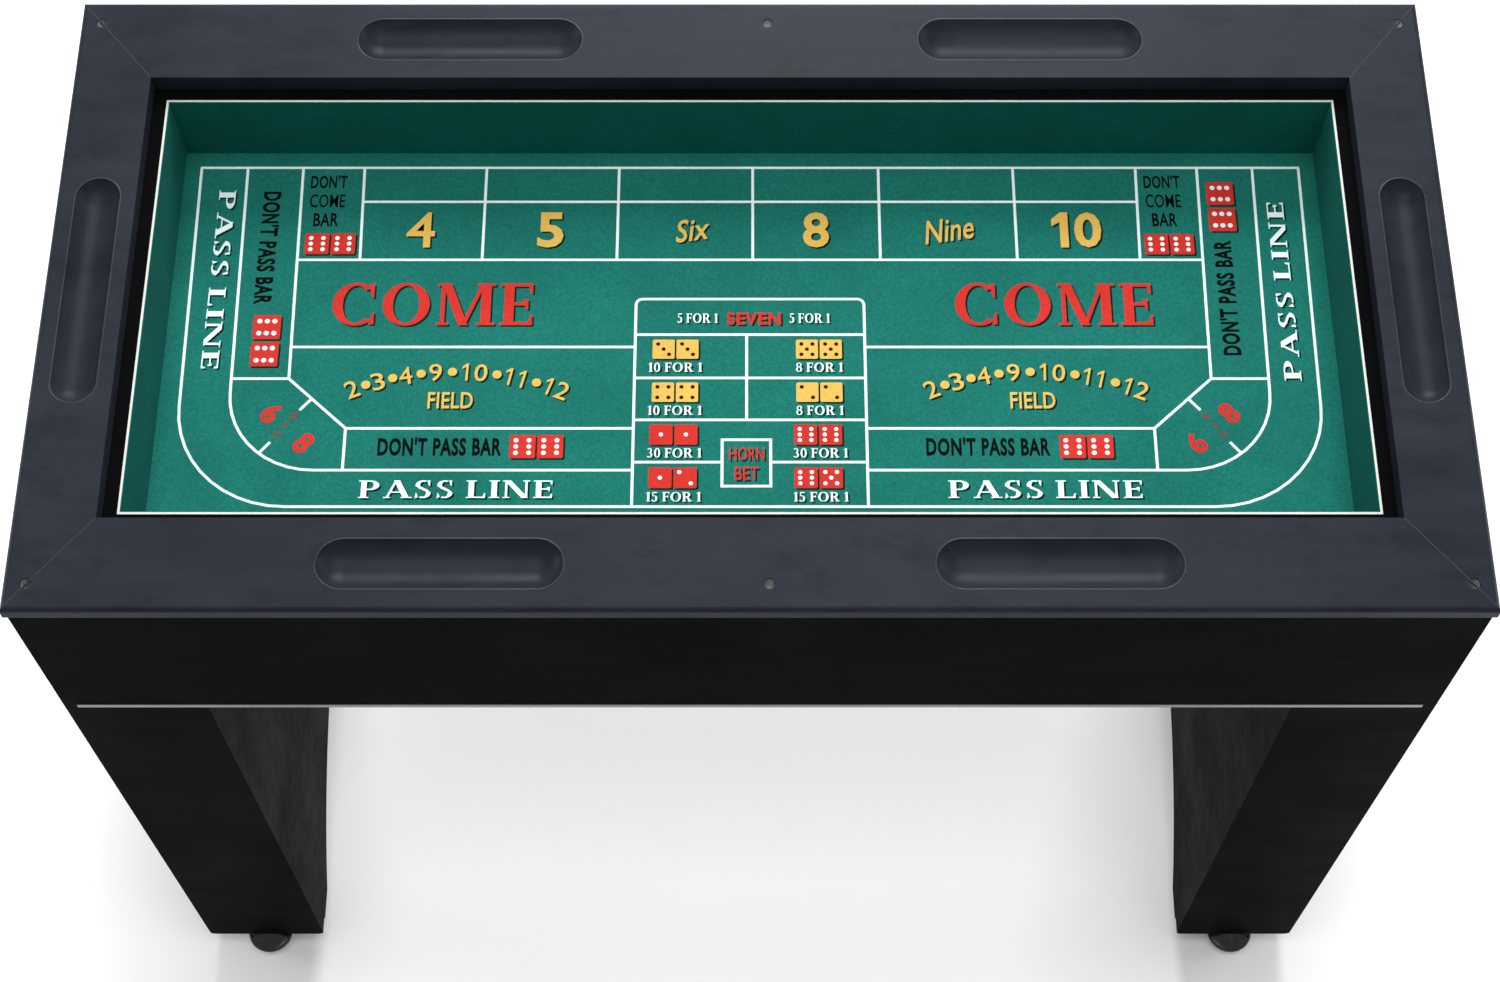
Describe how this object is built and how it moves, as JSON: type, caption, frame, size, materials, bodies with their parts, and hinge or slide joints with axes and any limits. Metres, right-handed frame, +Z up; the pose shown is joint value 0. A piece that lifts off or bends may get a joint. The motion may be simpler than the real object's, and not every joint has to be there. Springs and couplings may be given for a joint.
{
  "type": "craps table",
  "caption": "Free-standing craps table: mitred rail with chip troughs round a felt-lined dice well with a printed layout, panelled cabinet, arched box legs and screw levelling feet.",
  "frame": {"origin": "on the floor under the middle of the table", "axes": "+X along the table's length, -Y towards the front player, +Z up"},
  "size_m": [1.219, 0.637, 0.914],
  "materials": {
    "rail_laminate": "charcoal black laminate over board, satin with a fine grain and faint wipe marks",
    "cabinet_laminate": "near-black laminate over board, satin",
    "raw_board": "bare board, sawn edges",
    "playing_felt": "short green felt with a printed layout",
    "wall_felt": "short plain green felt",
    "foam_board": "white foam, cut edge",
    "trim_metal": "brushed strip",
    "screw_cap_plastic": "moulded black plastic",
    "foot_plastic": "moulded black plastic, glossy",
    "zinc_steel": "zinc plated steel"
  },
  "bodies": {
    "table": {"rail_front": "rail_laminate", "rail_back": "rail_laminate", "rail_left": "rail_laminate", "rail_right": "rail_laminate", "rail_screws": "zinc_steel", "rail_screw_caps": "screw_cap_plastic", "rail_blocks": "raw_board", "apron_front": "cabinet_laminate", "apron_back": "cabinet_laminate", "end_board_left": "cabinet_laminate", "end_board_right": "cabinet_laminate", "trim_strip_front": "trim_metal", "trim_strip_back": "trim_metal", "well_wall_front": "cabinet_laminate", "well_wall_back": "cabinet_laminate", "well_wall_left": "cabinet_laminate", "well_wall_right": "cabinet_laminate", "wall_foam_front": "foam_board", "wall_foam_back": "foam_board", "wall_foam_left": "foam_board", "wall_foam_right": "foam_board", "wall_felt_front": "wall_felt", "wall_felt_back": "wall_felt", "wall_felt_left": "wall_felt", "wall_felt_right": "wall_felt", "well_floor": "raw_board", "layout_felt": "playing_felt", "floor_cleat_front": "raw_board", "floor_cleat_back": "raw_board", "floor_cleat_left": "raw_board", "floor_cleat_right": "raw_board", "base_plate_left": "raw_board", "base_plate_right": "raw_board", "leg_front_left": "cabinet_laminate", "leg_front_right": "cabinet_laminate", "leg_back_left": "cabinet_laminate", "leg_back_right": "cabinet_laminate", "leg_inner_left": "cabinet_laminate", "leg_inner_right": "cabinet_laminate", "leg_outer_left": "cabinet_laminate", "leg_outer_right": "cabinet_laminate", "leg_top_plate_left": "raw_board", "leg_top_plate_right": "raw_board", "leg_battens_left": "raw_board", "leg_battens_right": "raw_board", "leg_bolts": "zinc_steel", "leg_washers": "zinc_steel", "leg_tee_nuts": "zinc_steel", "foot_inserts": "zinc_steel"},
    "stem_front_left": {"stem_front_left": "zinc_steel"},
    "pad_front_left": {"pad_front_left": "foot_plastic"},
    "stem_front_right": {"stem_front_right": "zinc_steel"},
    "pad_front_right": {"pad_front_right": "foot_plastic"},
    "stem_back_left": {"stem_back_left": "zinc_steel"},
    "pad_back_left": {"pad_back_left": "foot_plastic"},
    "stem_back_right": {"stem_back_right": "zinc_steel"},
    "pad_back_right": {"pad_back_right": "foot_plastic"}
  },
  "joints": [
    {"name": "foot_travel_front_left", "type": "slide", "parent": "table", "child": "stem_front_left", "axis": [0, 0, -1], "range_m": [0, 0.015]},
    {"name": "foot_turn_front_left", "type": "hinge", "parent": "stem_front_left", "child": "pad_front_left", "pos_m": [-0.5435, -0.2935, 0], "axis": [0, 0, -1], "range_deg": [0, 4320]},
    {"name": "foot_travel_front_right", "type": "slide", "parent": "table", "child": "stem_front_right", "axis": [0, 0, -1], "range_m": [0, 0.015]},
    {"name": "foot_turn_front_right", "type": "hinge", "parent": "stem_front_right", "child": "pad_front_right", "pos_m": [0.5435, -0.2935, 0], "axis": [0, 0, -1], "range_deg": [0, 4320]},
    {"name": "foot_travel_back_left", "type": "slide", "parent": "table", "child": "stem_back_left", "axis": [0, 0, -1], "range_m": [0, 0.015]},
    {"name": "foot_turn_back_left", "type": "hinge", "parent": "stem_back_left", "child": "pad_back_left", "pos_m": [-0.5435, 0.2935, 0], "axis": [0, 0, -1], "range_deg": [0, 4320]},
    {"name": "foot_travel_back_right", "type": "slide", "parent": "table", "child": "stem_back_right", "axis": [0, 0, -1], "range_m": [0, 0.015]},
    {"name": "foot_turn_back_right", "type": "hinge", "parent": "stem_back_right", "child": "pad_back_right", "pos_m": [0.5435, 0.2935, 0], "axis": [0, 0, -1], "range_deg": [0, 4320]}
  ],
  "couplings": [
    {"joint": "foot_travel_front_left", "follows": "foot_turn_front_left", "m_per_rad": 0.00019893},
    {"joint": "foot_travel_front_right", "follows": "foot_turn_front_right", "m_per_rad": 0.00019893},
    {"joint": "foot_travel_back_left", "follows": "foot_turn_back_left", "m_per_rad": 0.00019893},
    {"joint": "foot_travel_back_right", "follows": "foot_turn_back_right", "m_per_rad": 0.00019893}
  ]
}
